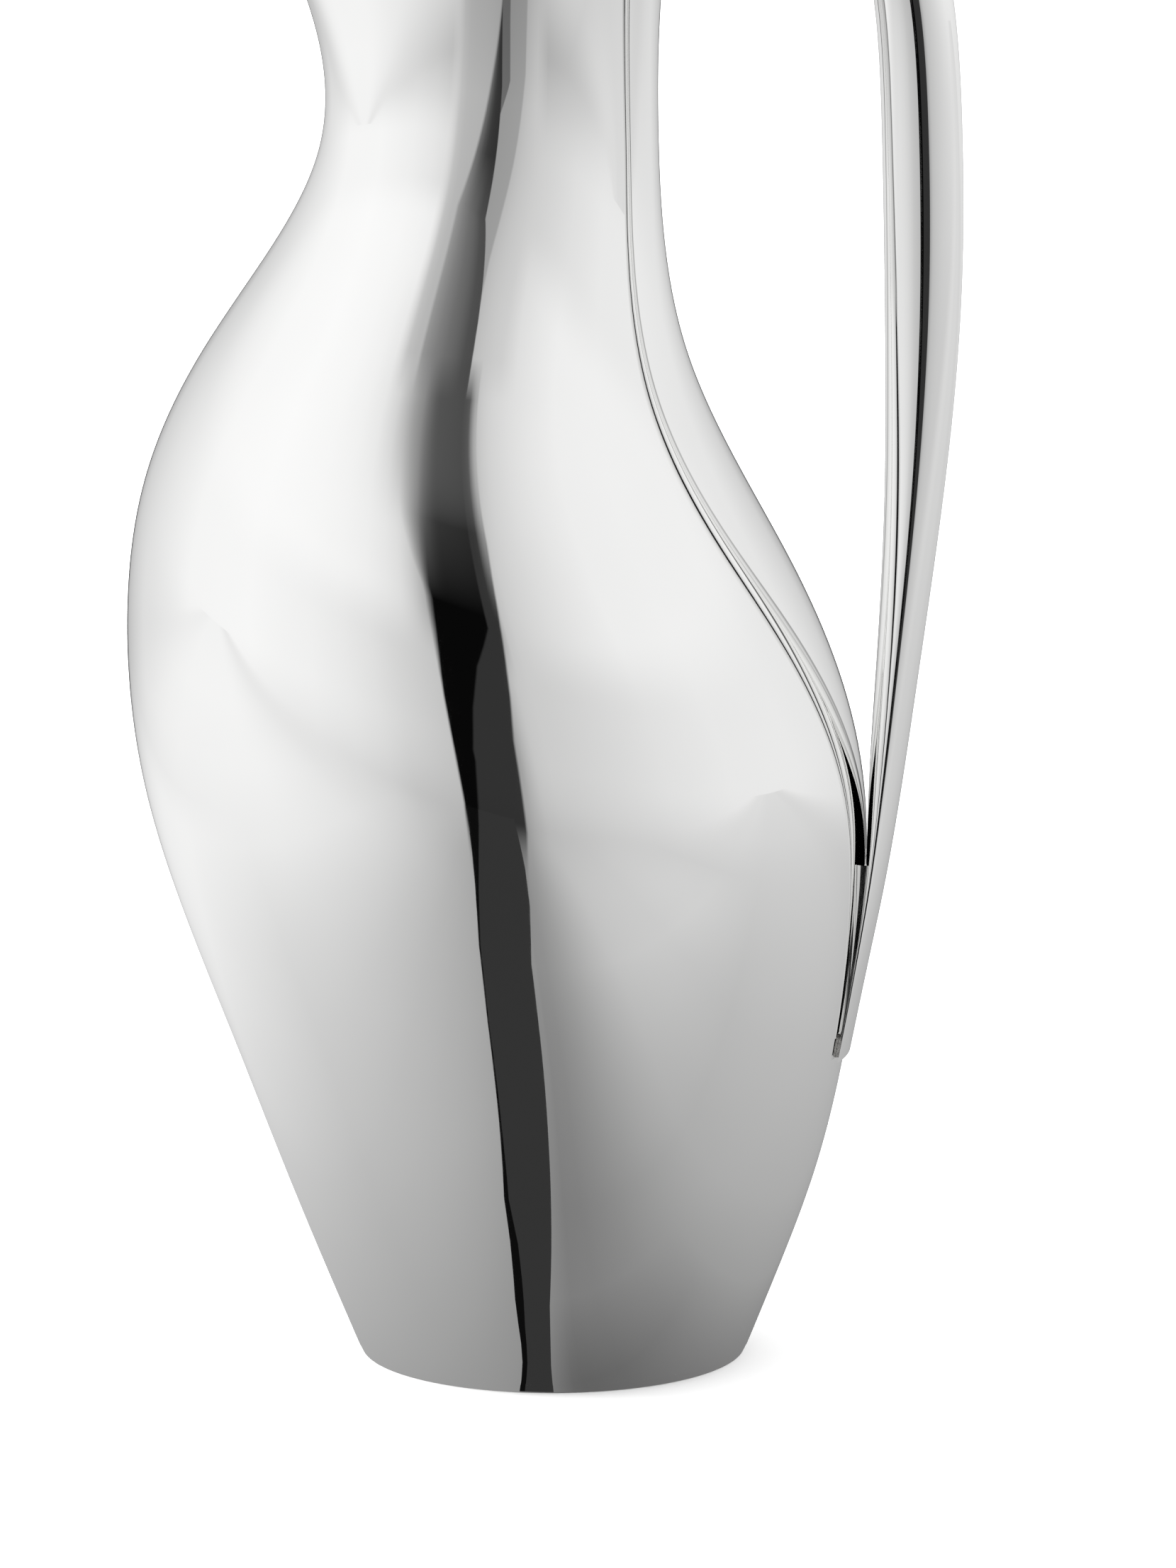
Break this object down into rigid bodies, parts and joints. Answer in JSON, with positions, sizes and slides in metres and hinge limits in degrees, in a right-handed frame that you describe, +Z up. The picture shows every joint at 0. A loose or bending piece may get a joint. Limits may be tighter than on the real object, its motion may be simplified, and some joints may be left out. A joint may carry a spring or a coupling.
{
  "type": "water pitcher",
  "caption": "Tall polished silver water pitcher with a leaning pear-shaped body, a narrow neck, a high beaked mouth and a hollow handle down one side.",
  "frame": {"origin": "middle of the foot ring's underside, on the surface that the pitcher stands on", "axes": "+Z is up, the beak points to -X, the handle is at +X, and XZ is the plane of symmetry"},
  "size_m": [0.1472, 0.1178, 0.2853],
  "materials": {
    "polished_silver": "mirror polished",
    "inner_silver": "satin",
    "solder_line": "silver solder, filed flush"
  },
  "bodies": {
    "root": {"near_body_half": "polished_silver", "far_body_half": "polished_silver", "front_seam_solder": "polished_silver", "back_seam_solder": "polished_silver", "rim_bead": "polished_silver", "bottom_plate": "inner_silver", "foot_ring": "polished_silver", "bottom_seam_solder": "solder_line", "handle_outer_shell": "polished_silver", "handle_inner_shell": "polished_silver", "handle_seam_solder": "polished_silver", "handle_head_saddle": "polished_silver", "handle_head_solder": "solder_line", "handle_foot_solder": "solder_line"}
  },
  "joints": []
}
